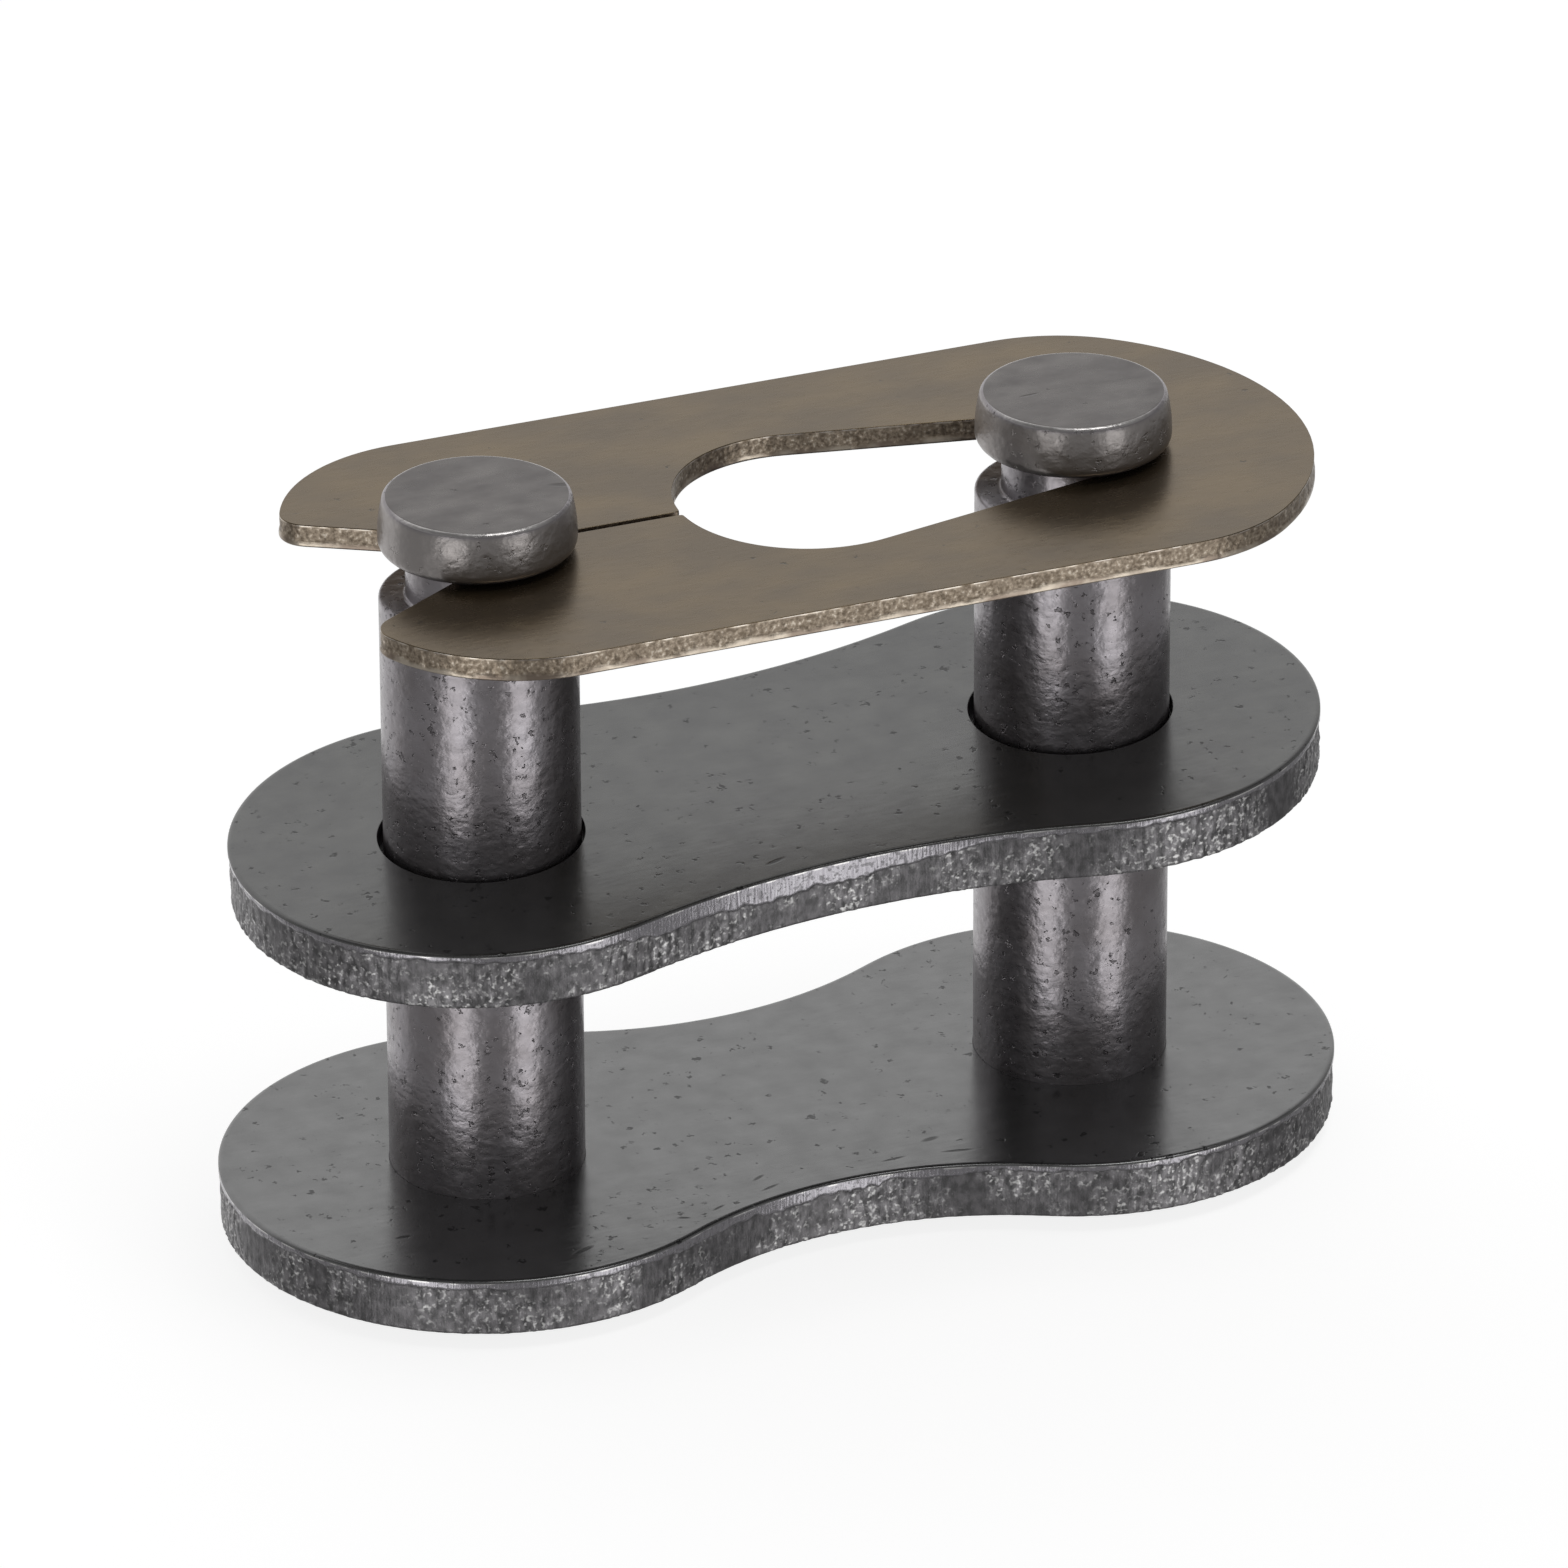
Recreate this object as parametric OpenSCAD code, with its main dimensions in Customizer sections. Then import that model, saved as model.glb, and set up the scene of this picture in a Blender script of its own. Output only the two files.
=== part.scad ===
// Spring clip connecting link for a single strand roller chain.
// Two grooved pins are pressed and riveted into the pin plate. The cover plate
// slips over them, and a sprung steel clip snaps into their grooves to hold it.
// +X points at the clip's closed end, +Z runs up the pins, and the origin is
// midway between the pins on the plane of their riveted ends.

/* [Chain] */
// Distance between the two pin axes
pitch = 19.05; // [17:0.05:22]
// Thickness of both link plates
plate_t = 1.8; // [1.5:0.05:2.2]

/* [Pin plate] */
// Radius of the pin plate's round ends
pin_plate_end_r = 8.1; // [7.4:0.05:8.8]
// Half the height of the pin plate at its waist
pin_plate_waist = 5.7; // [4.8:0.05:6.4]

/* [Pins] */
// Diameter of the pins and of their heads
pin_d = 5.9; // [5.2:0.05:6.2]
// Diameter of the pins in their grooves
neck_d = 4.3; // [3.9:0.05:4.6]
// Height of the pins' full diameter above the pin plate
seat_h = 18.7; // [16:0.1:21]
// Height of the groove that the clip runs in
groove_h = 1.5; // [1.1:0.05:2]
// Height of the head over the groove
head_h = 1.65; // [1.2:0.05:2.2]
// Rounding of the rim under the head
rim_r = 0.35; // [0.1:0.05:0.5]
// Rounding of the head's top edge and of the groove's lower edge
edge_r = 0.12; // [0.05:0.01:0.3]
// Height of the riveted end below the pin plate
rivet_h = 0.5; // [0.3:0.05:0.9]
// How far the riveted end is spread past the pin's side
rivet_spread = 0.25; // [0.1:0.05:0.5]

/* [Cover plate] */
// Radius of the cover plate's round ends
cover_end_r = 7.55; // [7:0.05:8.3]
// Half the height of the cover plate at its waist
cover_waist = 6.1; // [5.2:0.05:6.6]
// Radial clearance of the cover plate's holes on the pins
slip_gap = 0.15; // [0.1:0.01:0.25]
// Chamfer round the top of the cover plate's holes
hole_chamfer = 0.2; // [0.05:0.05:0.3]
// Height of the cover plate's underside above the pin plate
cover_lift = 9.3; // [7:0.1:11]
// Lean of the cover plate on the pins, closed end up, in degrees
cover_lean = 1.8; // [0:0.1:2.5]
// Tilt of the cover plate across the pins, +Y side up, in degrees
cover_tilt = 1.3; // [0:0.1:2]

/* [Spring clip] */
// Thickness of the clip
clip_t = 0.7; // [0.5:0.05:0.85]
// Gap between the clip and the underside of the heads
head_gap = 0.1; // [0.05:0.05:0.2]
// Half the width of the clip between its straight sides
clip_half_w = 7.8; // [7.2:0.05:8.2]
// Reach of the closed end past the pin's axis
closed_reach = 7.1; // [6:0.1:8]
// How much larger than half the clip's width the closed end's radius is
closed_extra = 0.8; // [0.3:0.1:2]
// Radius that blends the closed end into the straight sides
blend_r = 5.2; // [4:0.1:6]
// Reach of the prongs past the pin's axis at the open end
prong_reach = 4.95; // [4.5:0.05:5.5]
// Radius of the prongs' outer corners
prong_r = 5.2; // [4.2:0.1:5.6]
// Radius of the prongs' tips
tip_r = 0.9; // [0.5:0.05:1.2]
// Half the width of the throat that snaps over the pin's neck
throat = 1.78; // [1.6:0.02:1.9]
// Angle of each side of the mouth to the clip's length
mouth_angle = 31; // [26:0.5:36]
// Radial clearance of the clip on the pins' necks
neck_gap = 0.1; // [0.05:0.01:0.15]
// Radius of the wide end of the clip's opening
opening_r = 4; // [3.7:0.05:4.3]
// Distance of the opening's wide end from the middle of the link
opening_x = 0.95; // [0.5:0.05:1.4]
// Width of the slit between the opening and the open end
slit_w = 0.16; // [0.1:0.02:0.4]

/* [Hidden] */
$fn = 96;
half_pitch = pitch / 2;
pin_r = pin_d / 2;
neck_r = neck_d / 2;
pin_plate_top = rivet_h + plate_t;
shoulder_z = pin_plate_top + seat_h;
head_z = shoulder_z + groove_h;
clip_z = head_z - head_gap - clip_t;
cover_z = pin_plate_top + cover_lift;
cover_hole_r = pin_r + slip_gap;
clip_bore_r = neck_r + neck_gap;
closed_r = clip_half_w + closed_extra;
// How far a cutter runs past the faces that it cuts
past = 1;
// Angle between neighbouring points on the clip's arcs, in degrees
arc_step = 4;

// Points on an arc from angle a0 to a1 round the centre c
function arc(c, r, a0, a1) =
  let (steps = ceil(abs(a1 - a0) / arc_step))
  [for (i = [0:steps]) let (a = a0 + (a1 - a0) * i / steps) c + r * [cos(a), sin(a)]];

// The same points in reverse order on the other side of the X axis
function mirrored(points) =
  [for (i = [len(points) - 1:-1:0]) [points[i].x, -points[i].y]];

// Radius of the waist arc that touches both round ends of a link plate
function waist_arc_r(end_r, waist) =
  (end_r * end_r - half_pitch * half_pitch - waist * waist) / (2 * (waist - end_r));

// Outline of a link plate: round ends run into a hollow waist with no corner
module link_outline(end_r, waist) {
  arc_r = waist_arc_r(end_r, waist);
  arc_y = waist + arc_r;
  share = end_r / (end_r + arc_r);
  touch = [half_pitch * (1 - share), arc_y * share];
  difference() {
    union() {
      for (side = [-1, 1]) translate([side * half_pitch, 0]) circle(end_r);
      square([2 * touch.x, 2 * touch.y], center = true);
    }
    for (side = [-1, 1]) translate([0, side * arc_y]) circle(arc_r);
  }
}

// A link plate with its underside at Z = 0 and two plain holes
module link_plate(end_r, waist, hole_r) {
  difference() {
    linear_extrude(plate_t) link_outline(end_r, waist);
    for (side = [-1, 1])
      translate([side * half_pitch, 0, -past]) cylinder(r = hole_r, h = plate_t + 2 * past);
  }
}

// Half section of a disc of radius r from Z = z0 to z1 with its outer rims rounded
module disc_section(r, z0, z1, low_r, high_r) {
  difference() {
    translate([0, z0]) square([r, z1 - z0]);
    rim_cut(r, z0, low_r, 1);
    rim_cut(r, z1, high_r, -1);
  }
}

// What rounding takes off a rim at radius r and height z, with the disc on the side up
module rim_cut(r, z, round_r, up) {
  if (round_r > 0)
    difference() {
      translate([r - round_r, up > 0 ? z - past : z - round_r])
        square([round_r + past, round_r + past]);
      translate([r - round_r, z + up * round_r]) circle(round_r);
    }
}

// One pin, turned in a single piece: riveted end, bearing length, groove and head
module pin() {
  rotate_extrude() {
    polygon([
      [0, 0],
      [pin_r - rivet_spread, 0],
      [pin_r + rivet_spread, rivet_h / 2],
      [pin_r + rivet_spread, rivet_h],
      [0, rivet_h]
    ]);
    disc_section(pin_r, rivet_h, shoulder_z, 0, edge_r);
    translate([0, shoulder_z]) square([neck_r, groove_h]);
    disc_section(pin_r, head_z, head_z + head_h, rim_r, edge_r);
  }
}

module pin_plate() {
  color("dimgray")
    translate([0, 0, rivet_h])
      link_plate(pin_plate_end_r, pin_plate_waist, pin_r);
}

module left_pin() {
  color("slategray") translate([-half_pitch, 0, 0]) pin();
}

module right_pin() {
  color("slategray") translate([half_pitch, 0, 0]) pin();
}

module cover_plate() {
  color("gray")
    translate([0, 0, cover_z])
      rotate([cover_tilt, -cover_lean, 0])
        difference() {
          link_plate(cover_end_r, cover_waist, cover_hole_r);
          for (side = [-1, 1])
            translate([side * half_pitch, 0, plate_t - hole_chamfer])
              cylinder(r1 = cover_hole_r, r2 = cover_hole_r + hole_chamfer + past, h = hole_chamfer + past);
        }
}

// Outer outline of the clip without its mouth, going round from the closed end
module clip_outline() {
  closed_c = [half_pitch + closed_reach - closed_r, 0];
  blend_y = clip_half_w - blend_r;
  blend_angle = asin(blend_y / (closed_r - blend_r));
  blend_c = closed_c + (closed_r - blend_r) * [cos(blend_angle), sin(blend_angle)];
  prong_c = [-half_pitch - prong_reach + prong_r, clip_half_w - prong_r];
  upper = concat(
    arc(closed_c, closed_r, 0, blend_angle),
    arc(blend_c, blend_r, blend_angle, 90),
    arc(prong_c, prong_r, 90, 180)
  );
  polygon(concat(upper, mirrored(upper)));
}

// One side of the mouth: what is cut away between the two prongs, with the tip rounded
module mouth_side() {
  along = [cos(180 - mouth_angle), sin(180 - mouth_angle)];
  inward = [sin(mouth_angle), cos(mouth_angle)];
  start = [-half_pitch - sqrt(pow(clip_bore_r, 2) - pow(throat, 2)), throat];
  prong_c = [-half_pitch - prong_reach + prong_r, clip_half_w - prong_r];
  // The tip's arc touches the mouth's side and the prong's outer corner from inside
  reach = (prong_c - start) * along
    + sqrt(pow(prong_r - tip_r, 2) - pow((prong_c - start) * inward - tip_r, 2));
  tip_c = start + reach * along + tip_r * inward;
  touch_angle = (atan2(tip_c.y - prong_c.y, tip_c.x - prong_c.x) + 360) % 360;
  polygon(concat(
    [[-half_pitch, 0], start - throat / 2 * along],
    arc(tip_c, tip_r, 270 - mouth_angle, touch_angle),
    [
      tip_c + (tip_r + past) * [cos(touch_angle), sin(touch_angle)],
      [-half_pitch - prong_reach - past, 0]
    ]
  ));
}

// The opening that the closed end's pin snaps along, wide at one end, with straight sides
module clip_opening() {
  wide = [opening_x, 0];
  tight = [half_pitch, 0];
  side = acos((opening_r - clip_bore_r) / (tight.x - wide.x));
  polygon(concat(
    arc(wide, opening_r, side, 360 - side),
    arc(tight, clip_bore_r, -side, side)
  ));
}

module spring_clip() {
  color("darkkhaki")
    translate([0, 0, clip_z])
      linear_extrude(clip_t)
        difference() {
          clip_outline();
          clip_opening();
          mouth_side();
          mirror([0, 1]) mouth_side();
          translate([-half_pitch, 0]) circle(clip_bore_r);
          translate([-half_pitch, -slit_w / 2]) square([half_pitch, slit_w]);
        }
}

pin_plate();
left_pin();
right_pin();
cover_plate();
spring_clip();
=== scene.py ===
"""Looks of a roller chain connecting link, built round its fixed CAD frame.

Both link plates are blanked from strip, so each gets a rolled top edge, a burnished
band and a torn wall below it. The pins are turned, ground and pitted. The spring clip
is blanked from bronze brown spring strip and has a granular edge over a smooth lip.
Meshes are drawn in millimetres and brought to metres at the end.
"""

import math

import bmesh
import bpy
from mathutils import Matrix, Vector, noise


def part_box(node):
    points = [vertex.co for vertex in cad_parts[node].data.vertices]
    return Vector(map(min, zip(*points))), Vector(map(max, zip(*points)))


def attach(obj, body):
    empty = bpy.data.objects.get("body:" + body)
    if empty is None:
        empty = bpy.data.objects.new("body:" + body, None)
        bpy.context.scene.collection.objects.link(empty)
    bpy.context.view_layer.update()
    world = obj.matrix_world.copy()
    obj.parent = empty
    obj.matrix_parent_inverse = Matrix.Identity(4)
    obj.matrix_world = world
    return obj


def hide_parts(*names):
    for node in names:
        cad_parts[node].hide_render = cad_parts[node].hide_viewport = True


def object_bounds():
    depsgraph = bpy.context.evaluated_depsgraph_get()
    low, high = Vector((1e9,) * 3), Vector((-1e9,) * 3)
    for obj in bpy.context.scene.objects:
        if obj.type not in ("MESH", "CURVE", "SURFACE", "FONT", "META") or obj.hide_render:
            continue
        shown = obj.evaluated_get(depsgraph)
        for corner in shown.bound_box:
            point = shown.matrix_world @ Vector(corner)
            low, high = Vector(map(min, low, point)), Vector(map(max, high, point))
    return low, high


MM = 0.001
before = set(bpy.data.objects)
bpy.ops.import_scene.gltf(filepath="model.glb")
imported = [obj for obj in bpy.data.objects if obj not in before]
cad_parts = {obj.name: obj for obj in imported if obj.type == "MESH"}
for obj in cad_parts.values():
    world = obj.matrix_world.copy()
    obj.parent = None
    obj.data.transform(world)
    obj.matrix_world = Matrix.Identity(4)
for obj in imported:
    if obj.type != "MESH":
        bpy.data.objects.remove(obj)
cad_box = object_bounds()

# Spacing of the vertices on blanked walls, and how close doubles lie, in millimetres
SPACING = 0.06
WELD = 0.002
# Steps round a pin, round a rounding of its section, and along a rolled or barrel shaped edge
TURNED_STEPS = 192
ROUNDING_STEPS = 7
ARC_STEPS = 6
# Distance from a rounding at which a straight face gets an edge that keeps its shading flat,
# in millimetres
HOLD = 0.06
# A face counts as looking up or down when its normal's Z is past this or past minus this
FACING = 0.95
# Numbers of the two materials of a blanked piece, on its faces and on its walls
FACE = 0
WALL = 1


def merged_copy(node):
    """A welded copy of a CAD node's mesh, in millimetres."""
    bm = bmesh.new()
    bm.from_mesh(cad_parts[node].data)
    # Polish of each vertex, which also says where highlights and glints are painted
    bm.verts.layers.float.new("polish_and_highlight")
    bm.loops.layers.uv.new("wall")
    bmesh.ops.scale(bm, vec=Vector((1, 1, 1)) / MM, verts=bm.verts)
    bmesh.ops.remove_doubles(bm, verts=bm.verts, dist=WELD)
    return bm


def lay_level(bm):
    """Turns a flat piece until its wide faces are level. Returns its thickness and the
    turn back."""
    tops = [face for face in bm.faces if face.normal.z > FACING]
    widest = max(tops, key=lambda face: face.calc_area())
    turn = widest.normal.rotation_difference(Vector((0, 0, 1))).to_matrix()
    bmesh.ops.rotate(bm, cent=(0, 0, 0), matrix=turn, verts=bm.verts)
    heights = [vert.co.z for vert in bm.verts]
    return max(heights) - min(heights), turn.inverted()


def keep_outlines(bm):
    """Leaves only the edges round the underside of a level piece."""
    others = [face for face in bm.faces if face.normal.z > -FACING]
    bmesh.ops.delete(bm, geom=others, context="FACES")
    inner = [edge for edge in bm.edges if not edge.is_boundary]
    bmesh.ops.delete(bm, geom=inner, context="EDGES_FACES")


def divide(bm, spacing):
    """Cuts every edge into stretches of about one spacing."""
    groups = {}
    for edge in bm.edges:
        groups.setdefault(round(edge.calc_length() / spacing) - 1, []).append(edge)
    for cuts, edges in groups.items():
        if cuts > 0:
            bmesh.ops.subdivide_edges(bm, edges=edges, cuts=cuts)


def ease(bm, passes):
    """Smooths the outlines of a level piece in their own plane."""
    for _ in range(passes):
        bmesh.ops.smooth_vert(bm, verts=bm.verts, factor=0.5, use_axis_x=True, use_axis_y=True)


def rings_of(bm):
    """The closed rings of vertices in order, with the metal on the left of each. The vertices
    wait in their own order, so that each ring starts at the same one in every run."""
    left = dict.fromkeys(bm.verts)
    rings = []
    while left:
        ring = [next(iter(left))]
        while True:
            ahead = [e.other_vert(ring[-1]) for e in ring[-1].link_edges]
            ahead = [v for v in ahead if v in left and v is not ring[0] and v not in ring[-2:]]
            del left[ring[-1]]
            if not ahead:
                break
            ring.append(ahead[0])
        rings.append(ring)
    rings.sort(key=lambda ring: -abs(signed_area(ring)))
    for number, ring in enumerate(rings):
        if (signed_area(ring) > 0) != (number == 0):
            ring.reverse()
    return rings


def signed_area(ring):
    """Area inside a ring seen from above, negative where it runs clockwise."""
    pairs = zip(ring, ring[1:] + ring[:1])
    return sum(a.co.x * b.co.y - b.co.x * a.co.y for a, b in pairs) / 2


def outward(ring):
    """The level direction out of the metal at each vertex of a ring."""
    directions = []
    for number in range(len(ring)):
        ahead = ring[(number + 1) % len(ring)].co - ring[number - 1].co
        directions.append(Vector((ahead.y, -ahead.x, 0)).normalized())
    return directions


def ring_edges(bm, ring):
    """The edges between the vertices of a ring."""
    return [bm.edges.get(pair) for pair in zip(ring, ring[1:] + ring[:1])]


def extrude_ring(bm, ring):
    """Extrudes a closed ring and returns the new ring in the same order."""
    made = bmesh.ops.extrude_edge_only(bm, edges=ring_edges(bm, ring))["geom"]
    fresh = {item for item in made if isinstance(item, bmesh.types.BMVert)}
    return [next(e.other_vert(v) for e in v.link_edges if e.other_vert(v) in fresh) for v in ring]


def build_wall(bm, ring, rows, relief):
    """Raises a wall from a ring. Each row is (height, inset, material), and relief gives
    how far the wall stands out at a spot and how polished it is there, which also sets where
    highlights and glints are painted."""
    base = [vert.co.copy() for vert in ring]
    out = outward(ring)
    along = [0.0]
    for a, b in zip(base, base[1:] + base[:1]):
        along.append(along[-1] + (b - a).length)
    coords = bm.loops.layers.uv["wall"]
    polish_and_highlight = bm.verts.layers.float["polish_and_highlight"]
    places = {}

    def place(ring_now, height, inset):
        for number, vert in enumerate(ring_now):
            spot = base[number] + Vector((0, 0, height))
            stand, shine = relief(spot, height)
            vert.co = spot + out[number] * (stand - inset)
            vert[polish_and_highlight] = shine
            places[vert] = (number, height)

    place(ring, *rows[0][:2])
    for height, inset, material in rows[1:]:
        known = set(bm.faces)
        ring = extrude_ring(bm, ring)
        place(ring, height, inset)
        for face in set(bm.faces) - known:
            face.material_index = material
            face.smooth = True
            numbers = [places[loop.vert][0] for loop in face.loops]
            for loop, number in zip(face.loops, numbers):
                wraps = number == 0 and max(numbers) > 1
                step = len(base) if wraps else number
                loop[coords].uv = (along[step], places[loop.vert][1])
    return ring


def cap(bm, rings):
    """Closes a flat face whose outlines are rings."""
    edges = [edge for ring in rings for edge in ring_edges(bm, ring)]
    bmesh.ops.triangle_fill(bm, use_beauty=True, edges=edges)


def rolled_rows(foot, width, height, start=0.0):
    """Rows of a rolled edge that turns inwards above a height called foot, from an inset
    called start."""
    rows = []
    for step in range(1, ARC_STEPS + 1):
        angle = math.radians(90) * step / ARC_STEPS
        inset = start + width * (1 - math.cos(angle))
        rows.append((foot + height * math.sin(angle), inset, FACE))
    return rows


def level(value, low, high):
    """0 at low, 1 at high and straight between them."""
    return max(0.0, min(1.0, (value - low) / (high - low)))


def finish_piece(bm, name, body, node, materials):
    """Brings a mesh to metres and puts it in the scene in place of its CAD node."""
    bmesh.ops.recalc_face_normals(bm, faces=bm.faces)
    bmesh.ops.scale(bm, vec=Vector((MM, MM, MM)), verts=bm.verts)
    mesh = bpy.data.meshes.new(name)
    bm.to_mesh(mesh)
    bm.free()
    for material in materials:
        mesh.materials.append(material)
    piece = bpy.data.objects.new(name, mesh)
    bpy.context.scene.collection.objects.link(piece)
    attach(piece, body)
    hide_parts(node)


# Materials

# Share of the places for a pit that stay without one, and the share of the widest pit's
# radius over which a pit deepens
PIT_FREE = 0.45
PIT_SLOPE = 0.3
# How much of the tint under a pit gives way to its dark, on the plates and on the pins
PLATE_PIT_SHARE = 0.9
PIN_PIT_SHARE = 0.6
# Heights in a relief whose dents are 1 high: rolling streaks, grinding marks and pin pits
STREAK_RELIEF = 0.12
MARK_RELIEF = 0.4
PIN_PIT_RELIEF = -0.7
# How much rougher than the pin its head's side is
HEAD_SIDE_ROUGHER = 0.04
# Nearly all of a noise texture lies between these two levels
NOISE_SPAN = {"From Min": 0.3, "From Max": 0.7}
# Marks on the faces and on the pins' flat ends. Each is x, y and angle, then length and width
PIN_PLATE_SCARS = [
    (-9.1, -6.8, 20, 0.9, 0.2),
    (-13.7, -4.0, 0, 0.6, 0.2),
    (-5.6, -6.1, -20, 0.45, 0.16),
    (-4.4, -5.9, 25, 0.6, 0.13),
    (-2.6, -4.6, 30, 0.6, 0.16),
    (-2.5, -5.3, 20, 0.8, 0.15),
    (1.6, -5.05, 4, 0.9, 0.15),
    (3.1, -4.3, 10, 0.7, 0.25),
    (3.6, -5.3, -12, 1.2, 0.18)]
COVER_PLATE_SCARS = [(-2.3, -5.35, 18, 0.85, 0.22)]
HEAD_SCARS = [(8.17, 0.18, 5, 0.75, 0.14), (-6.9, -0.35, 160, 1.1, 0.3)]


def colour(code):
    """Linear colour of an sRGB hex value such as 7a7a7b."""
    parts = [int(code[i:i + 2], 16) / 255 for i in (0, 2, 4)]
    return [p / 12.92 if p < 0.04045 else ((p + 0.055) / 1.055) ** 2.4 for p in parts] + [1]


def add(tree, kind, inputs=None, output=0, **settings):
    """Adds a node with its settings and returns one of its outputs. Inputs go by label or
    by number, and each is a value, a hex colour or an output to link. A colour Mix takes its
    share at 0 and its two colours at 6 and 7, and gives its mixture at output 2."""
    node = tree.nodes.new("ShaderNode" + kind)
    for key, value in settings.items():
        setattr(node, key, value)
    for key, value in (inputs or {}).items():
        if isinstance(value, bpy.types.NodeSocket):
            tree.links.new(value, node.inputs[key])
        else:
            node.inputs[key].default_value = colour(value) if isinstance(value, str) else value
    return node.outputs[output] if node.outputs else None


def start_material(name):
    """A new material and its empty node tree."""
    material = bpy.data.materials.new(name)
    material.use_nodes = True
    tree = material.node_tree
    tree.nodes.clear()
    return material, tree


def per_mm(size):
    """Scale of a pattern on metres whose features are about size millimetres."""
    return 1 / (size * MM)


def patches(tree, vector, size, low, high):
    """Noise with features of one size in millimetres, cut to 0 below low and 1 above high."""
    cloud = add(tree, "TexNoise", {"Vector": vector, "Scale": per_mm(size), "Detail": 3.0})
    return add(tree, "MapRange", {"Value": cloud, "From Min": low, "From Max": high})


def warped(tree, vector, size, reach):
    """The same coordinates pushed about by up to half of reach, in swirls of one size."""
    swirls = {"Vector": vector, "Scale": per_mm(size), "Detail": 1.0}
    push = {0: add(tree, "TexNoise", swirls, "Color"), 1: (reach * MM,) * 3, 2: vector}
    return add(tree, "VectorMath", push, operation="MULTIPLY_ADD")


def pits(tree, vector, spacing, radius):
    """1 in scattered ragged pits of up to one radius, with at most one to each spacing."""
    ragged = warped(tree, vector, radius, radius * 3)
    away = add(tree, "TexVoronoi", {"Vector": ragged, "Scale": per_mm(spacing)}, "Distance")
    chance = add(tree, "SeparateColor", {0: away.node.outputs["Color"]})
    widest = radius / spacing
    rim = add(tree, "MapRange", {
        "Value": chance, "From Min": PIT_FREE, "From Max": 1.0, "To Min": 0.0, "To Max": widest})
    inside = add(tree, "Math", {0: rim, 1: away}, operation="SUBTRACT")
    slope = PIT_SLOPE * widest
    return add(tree, "MapRange", {"Value": inside, "From Min": 0.0, "From Max": slope})


def scar(tree, vector, x, y, angle, length, width):
    """1 in an oval mark whose middle is at x and y, fading out over its outer half. Lengths
    are in millimetres and the angle is in degrees."""
    spot = add(tree, "Mapping", {
        "Vector": vector,
        "Location": (x * MM, y * MM, 0),
        "Rotation": (0, 0, math.radians(angle)),
        "Scale": (length * MM / 2, width * MM / 2, 1)}, vector_type="TEXTURE")
    away = add(tree, "VectorMath", {0: spot}, "Value", operation="LENGTH")
    return add(tree, "MapRange", {"Value": away, "From Min": 1.0, "From Max": 0.5})


def metal(tree, tint, roughness, height, depth, bare=0.88):
    """Joins to the material's output a metal under a thin dull oxide. Bare is the share of
    the light that the metal reflects, and the oxide scatters the rest. The relief is depth
    millimetres deep."""
    bump = add(tree, "Bump", {"Height": height, "Distance": depth * MM, "Strength": 1.0})
    shader = add(tree, "BsdfPrincipled", {
        "Base Color": tint, "Metallic": bare, "Roughness": roughness, "Normal": bump})
    add(tree, "OutputMaterial", {"Surface": shader})


def plate_face_steel(name, tone, dark, speck, bare, scars):
    """Heat treated strip steel, tumbled: an even satin grey with small dark pits and marks,
    faint rolling streaks along X and a soft mirror image of the pins. Real streaks are about
    0.03 mm wide, too fine to show, so they are drawn coarser."""
    material, tree = start_material(name)
    place = add(tree, "TexCoord", output="Object")
    mottle = add(tree, "TexNoise", {"Vector": place, "Scale": per_mm(1.1), "Detail": 6.0})
    mottle = add(tree, "MapRange", {"Value": mottle, **NOISE_SPAN})
    tint = add(tree, "Mix", {0: mottle, 6: dark, 7: tone}, 2, data_type="RGBA")
    clusters = {0: pits(tree, place, 0.3, 0.12), 1: patches(tree, place, 1.8, 0.46, 0.54)}
    clusters = add(tree, "Math", clusters, operation="MULTIPLY")
    holes = add(tree, "Math", {0: pits(tree, place, 0.6, 0.16), 1: clusters}, operation="MAXIMUM")
    for mark in scars:
        holes = add(tree, "Math", {0: holes, 1: scar(tree, place, *mark)}, operation="MAXIMUM")
    share = add(tree, "Math", {0: holes, 1: PLATE_PIT_SHARE}, operation="MULTIPLY")
    tint = add(tree, "Mix", {0: share, 6: tint, 7: speck}, 2, data_type="RGBA")
    streaks = add(tree, "Mapping", {"Vector": place, "Scale": (0.15, 1, 1)})
    streaks = add(tree, "TexNoise", {"Vector": streaks, "Scale": per_mm(0.12), "Detail": 3.0})
    rough = add(tree, "MapRange", {
        "Value": streaks, **NOISE_SPAN, "To Min": 0.18, "To Max": 0.27})
    dents = add(tree, "TexNoise", {"Vector": place, "Scale": per_mm(0.7), "Detail": 2.0})
    height = add(tree, "Math", {0: streaks, 1: STREAK_RELIEF, 2: dents}, operation="MULTIPLY_ADD")
    height = add(tree, "Math", {0: height, 1: holes}, operation="SUBTRACT")
    metal(tree, tint, rough, height, depth=0.004, bare=bare)
    return material


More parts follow.
